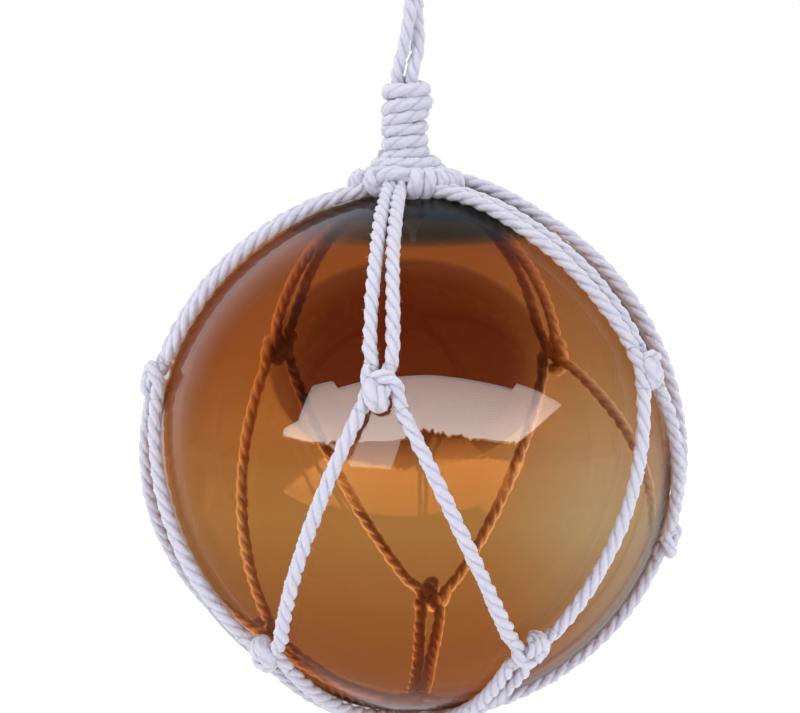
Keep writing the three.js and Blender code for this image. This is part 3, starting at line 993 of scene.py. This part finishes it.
# The room that the glass mirrors: a wall behind, brighter on the left, and dim sides
ROOM_COLOUR = (0.74, 0.87, 1.05, 1)
WALL_REACH = (0.3, 0.95)
WALL_SIDEWAYS = (-0.5, 0.2, 2.4, 0.5)
SIDES_REACH = (-0.1, 0.1)
SIDES_DIMMEST = 0.02


def light_path(tree, depth, operation, value):
    """How often the light has been turned in that way, against a value."""
    path = add_node(tree, "ShaderNodeLightPath")
    return maths(tree, operation, path.outputs[depth], value)


def mirrored_only(tree):
    """1 for light that a surface has mirrored, 0 for the rest."""
    return light_path(tree, "Glossy Depth", "MINIMUM", 1)


def seen_through(tree):
    """1 for what is looked at straight through glass, 0 for the rest."""
    through = light_path(tree, "Transmission Depth", "MINIMUM", 1)
    return maths(tree, "MULTIPLY", through, light_path(tree, "Diffuse Depth", "LESS_THAN", 0.5))


def raised(tree, amount, base):
    """The base value, raised by the amount for light on what lies behind both walls of the glass."""
    through = light_path(tree, "Transmission Depth", "GREATER_THAN", 3)
    lit = maths(tree, "MULTIPLY", through, light_path(tree, "Diffuse Depth", "GREATER_THAN", 0.5))
    return maths(tree, "MULTIPLY_ADD", lit, amount, base)


def make_camera(context):
    """The camera in front of the ball and a little above it."""
    data = bpy.data.cameras.new("camera")
    data.lens = CAMERA_LENS
    data.sensor_width = CAMERA_SENSOR
    data.clip_start = 10 * MM
    camera = add_object("camera", data)
    lift = math.radians(CAMERA_ELEVATION)
    back = np.array((0, -math.cos(lift), math.sin(lift))) * CAMERA_DISTANCE
    camera.location = BALL_CENTRE + back
    camera.rotation_euler = (math.radians(90 - CAMERA_DIP), 0, math.radians(CAMERA_TURN))
    context.scene.camera = camera


def floor_material(settings):
    """A matt pale paint with a slight grain, which looks dimmer near the ball through its glass."""
    material, tree, shader = new_material("pale_floor", Roughness=0.9, Emission_Color=(1, 1, 1, 1))
    where = coordinates(tree)
    grain = noise(tree, where, Scale=40.0)
    shade = fade(tree, grain, 0.0, 1.0, FLOOR_GRAIN * FLOOR_PAINT, FLOOR_PAINT, "LINEAR")
    tree.links.new(shade, shader.inputs["Base Color"])
    glow = raised(tree, settings.lift * FLOOR_LIFT, settings.floor_glow)
    tree.links.new(glow, shader.inputs["Emission Strength"])
    distance = add_node(tree, "ShaderNodeVectorMath", {0: where}, operation="LENGTH").outputs["Value"]
    strength = fade(tree, distance, *FLOOR_REACH, settings.behind * FLOOR_NEAR, settings.behind)
    dimmer = add_node(tree, "ShaderNodeEmission", {"Strength": strength})
    mixed(tree, tree.nodes["Material Output"], seen_through(tree), shader, dimmer)
    return material


def make_floor(settings):
    """The floor under the hanging ball."""
    bpy.ops.object.select_all(action="DESELECT")
    place = (0, 0, CAD_BOX[0].z - settings.drop)
    bpy.ops.mesh.primitive_circle_add(vertices=128, radius=FLOOR_RADIUS, fill_type="NGON", location=place)
    floor = bpy.context.object
    floor.name = "floor"
    bpy.ops.object.transform_apply(location=True)
    floor.data.materials.append(floor_material(settings))
    floor.visible_glossy = False


def make_lamps(settings):
    """The soft lamps, which the glass neither mirrors nor shows."""
    for name, place, share in LAMPS:
        data = bpy.data.lights.new(name, "AREA")
        data.size = LAMP_SIZE
        data.energy = settings.key * share
        lamp = add_object(name, data)
        lamp.location = place
        aim = Vector(BALL_CENTRE) - Vector(place)
        lamp.rotation_euler = aim.to_track_quat("-Z", "Y").to_euler()
        lamp.visible_glossy = False
        lamp.visible_transmission = False


def skyline():
    """The ragged top of far trees along the bottom of the window."""
    draw = np.random.default_rng(7)
    xs, heights = zip(*SKYLINE)
    places = np.linspace(xs[0], xs[-1], TREES)
    line = np.interp(-places, [-x for x in xs], heights)
    tips = draw.uniform(*TREE_TIPS, len(places)) * (0.6 + 0.5 * np.sin(places * 7))
    return list(zip(places, line + tips))


def window_material(name, low, high):
    """A glow that only mirrored light sees, from one strength at the foot to another at the top."""
    material, tree, _ = new_material(name)
    tree.nodes.clear()
    out = add_node(tree, "ShaderNodeOutputMaterial")
    foot, top = (BALL_CENTRE[2] + height * WINDOW_DISTANCE for height in WINDOW_HEIGHTS)
    strength = fade(tree, axes(tree, coordinates(tree))["Z"], foot, top, low, high, "LINEAR")
    glow = add_node(tree, "ShaderNodeEmission", {"Strength": strength}, Color=WINDOW_COLOUR)
    mixed(tree, out, mirrored_only(tree), add_node(tree, "ShaderNodeBsdfTransparent"), glow)
    return material


def window_card(name, outline, glow, settings):
    """A glowing card of that outline in front of the ball, which only mirrored light sees."""
    places = np.array([(x, -1, z) for x, z in outline]) * WINDOW_DISTANCE + BALL_CENTRE
    mesh = bpy.data.meshes.new(name)
    mesh.from_pydata(places.tolist(), [], [range(len(places))])
    low, high = glow
    mesh.materials.append(window_material(f"{name}_light", settings.window * low, settings.window * high))
    card = add_object(name, mesh)
    card.visible_diffuse = False
    card.visible_shadow = False
    card.visible_camera = False


def make_room(context, settings):
    """A white world, which shows as a dim room with a bright wall behind in what the glass mirrors."""
    world = bpy.data.worlds.new("white_room")
    world.use_nodes = True
    tree = world.node_tree
    tree.nodes.clear()
    out = add_node(tree, "ShaderNodeOutputWorld")
    behind = fade(tree, seen_through(tree), 0.0, 1.0, 1.0, settings.behind, "LINEAR")
    strength = raised(tree, settings.lift, behind)
    bright = add_node(tree, "ShaderNodeBackground", {"Strength": strength}, Color=(1, 1, 1, 1))
    right, back, _ = axes(tree, coordinates(tree, "Generated"))
    wall = fade(tree, back, *WALL_REACH, 0.0, settings.wall)
    sideways = fade(tree, right, *WALL_SIDEWAYS)
    sides = fade(tree, back, *SIDES_REACH, SIDES_DIMMEST, settings.room)
    light = maths(tree, "MULTIPLY_ADD", wall, sideways, sides)
    room = add_node(tree, "ShaderNodeBackground", {"Strength": light}, Color=ROOM_COLOUR)
    mixed(tree, out, mirrored_only(tree), bright, room)
    context.scene.world = world
    context.scene.view_settings.view_transform = "Standard"


# Pieces of cord

# The net as it was last worked out, and the settings that it was made for
LAST_NET = {"values": None, "builders": {}}


def filled(stretches, settings):
    """A mesh builder that holds stretches of cord, each as a closed tube with its fibres."""
    builder = MeshBuilder()
    for cord, part in stretches:
        builder.tube(cord.rings[part], cord.along[part])
        builder.fibres(cord, part, settings)
    return builder


def net_builders(settings):
    """The net's pieces by their names. They are worked out together, because they share cords."""
    found = (getattr(settings, name) for name in type(settings).__annotations__)
    values = [value if isinstance(value, float) else tuple(value) for value in found]
    if LAST_NET["values"] != values:
        net = net_stretches(settings)
        for name in WINDINGS:
            net.setdefault(name, []).extend(windings(name, settings))
        LAST_NET["builders"] = {name: filled(stretches, settings) for name, stretches in net.items()}
        LAST_NET["values"] = values
    return LAST_NET["builders"]


def dressed(name, builder):
    """The finished piece of cotton cord, which stands for the CAD node of that name."""
    cotton = bpy.data.materials.get("cotton_cord") or cotton_material(bpy.context.scene.float_cord)
    piece = builder.piece(f"rope_{name}", cotton)
    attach(piece, BODY)
    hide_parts(name)
    return piece


def dress_net(settings, kind):
    """Makes the pieces of the net whose names hold that word."""
    for name, builder in net_builders(settings).items():
        if kind in name:
            dressed(name, builder)


# Operators

class OBJECT_OT_float_stage(bpy.types.Operator):
    """Makes the camera, the pale floor, the soft lamps, the window and the white room"""

    bl_idname = "object.float_stage"
    bl_label = "Stage"

    def execute(self, context):
        settings = context.scene.float_stage
        make_camera(context)
        make_floor(settings)
        make_lamps(settings)
        window_card("window_sky", [*WINDOW_SKY, *skyline()], SKY_GLOW, settings)
        window_card("window_snow", WINDOW_SNOW, SNOW_GLOW, settings)
        make_room(context, settings)
        return {"FINISHED"}


class OBJECT_OT_float_hanging_loop(bpy.types.Operator):
    """Makes the cord that the ball hangs by"""

    bl_idname = "object.float_hanging_loop"
    bl_label = "Hanging loop"

    def execute(self, context):
        settings = context.scene.float_cord
        line = loop_line()
        piece = dressed("hanging_loop", filled([Cord(line, 201, settings).cut()], settings))
        return {"FINISHED"}


class OBJECT_OT_float_net_cords(bpy.types.Operator):
    """Makes the cords of the net between its knots"""

    bl_idname = "object.float_net_cords"
    bl_label = "Net cords"

    def execute(self, context):
        dress_net(context.scene.float_cord, "_cord")
        return {"FINISHED"}


class OBJECT_OT_float_knots(bpy.types.Operator):
    """Makes the two rows of knots"""

    bl_idname = "object.float_knots"
    bl_label = "Knots"

    def execute(self, context):
        dress_net(context.scene.float_cord, "_knot")
        return {"FINISHED"}


class OBJECT_OT_float_windings(bpy.types.Operator):
    """Makes the wound cords: the collar, the whipped neck and the bottom ring"""

    bl_idname = "object.float_windings"
    bl_label = "Windings"

    def execute(self, context):
        for name in WINDINGS:
            dress_net(context.scene.float_cord, name)
        return {"FINISHED"}


def add_sphere(radius, place):
    """A fine sphere at its place, with its origin at the world's."""
    bpy.ops.mesh.primitive_uv_sphere_add(segments=160, ring_count=80, radius=radius, location=place)
    bpy.ops.object.transform_apply(location=True)
    return bpy.context.object


class OBJECT_OT_float_glass(bpy.types.Operator):
    """Makes the hollow glass ball"""

    bl_idname = "object.float_glass"
    bl_label = "Glass ball"

    def execute(self, context):
        settings = context.scene.float_glass
        bpy.ops.object.select_all(action="DESELECT")
        outer = add_sphere(BALL_RADIUS, BALL_CENTRE)
        hollow = Vector(BALL_CENTRE) + Vector((settings.hollow_right, 0, -settings.hollow_down))
        inner = add_sphere(BALL_RADIUS - settings.wall, hollow)
        bpy.ops.object.mode_set(mode="EDIT")
        bpy.ops.mesh.select_all(action="SELECT")
        bpy.ops.mesh.flip_normals()
        bpy.ops.object.mode_set(mode="OBJECT")
        outer.select_set(True)
        inner.select_set(True)
        context.view_layer.objects.active = outer
        bpy.ops.object.join()
        outer.name = "hollow_glass_ball"
        bpy.ops.object.shade_smooth()
        outer.data.materials.append(glass_material(settings))
        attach(outer, BODY)
        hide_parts("glass_ball")
        return {"FINISHED"}


class VIEW3D_PT_float(bpy.types.Panel):
    """Lists the float's makers with their settings"""

    bl_idname = "VIEW3D_PT_float"
    bl_label = "Glass float ball"
    bl_space_type = "VIEW_3D"
    bl_region_type = "UI"
    bl_category = "Float"

    def draw(self, context):
        for (settings, _), operators in zip(SETTINGS, (STAGE_MAKERS, CORD_MAKERS, GLASS_MAKERS)):
            box = self.layout.box()
            for maker in operators:
                box.operator(maker.bl_idname)
            group = getattr(context.scene, settings)
            for name in type(group).__annotations__:
                box.prop(group, name)


SETTINGS = (
    ("float_stage", FloatStageSettings),
    ("float_cord", FloatCordSettings),
    ("float_glass", FloatGlassSettings),
)
STAGE_MAKERS = (OBJECT_OT_float_stage,)
CORD_MAKERS = (
    OBJECT_OT_float_hanging_loop,
    OBJECT_OT_float_net_cords,
    OBJECT_OT_float_knots,
    OBJECT_OT_float_windings,
)
GLASS_MAKERS = (OBJECT_OT_float_glass,)
CLASSES = (*dict(SETTINGS).values(), *STAGE_MAKERS, *CORD_MAKERS, *GLASS_MAKERS, VIEW3D_PT_float)


def register():
    """Adds the float's classes and settings."""
    for item in CLASSES:
        bpy.utils.register_class(item)
    for name, group in SETTINGS:
        setattr(bpy.types.Scene, name, bpy.props.PointerProperty(type=group))


def unregister():
    """Takes the float's classes and settings away again."""
    for name, _ in SETTINGS:
        delattr(bpy.types.Scene, name)
    for item in reversed(CLASSES):
        bpy.utils.unregister_class(item)


def main():
    """Builds the stage and every piece."""
    register()
    bpy.ops.object.float_stage()
    bpy.ops.object.float_hanging_loop()
    bpy.ops.object.float_net_cords()
    bpy.ops.object.float_knots()
    bpy.ops.object.float_windings()
    bpy.ops.object.float_glass()


if __name__ == "__main__":
    main()
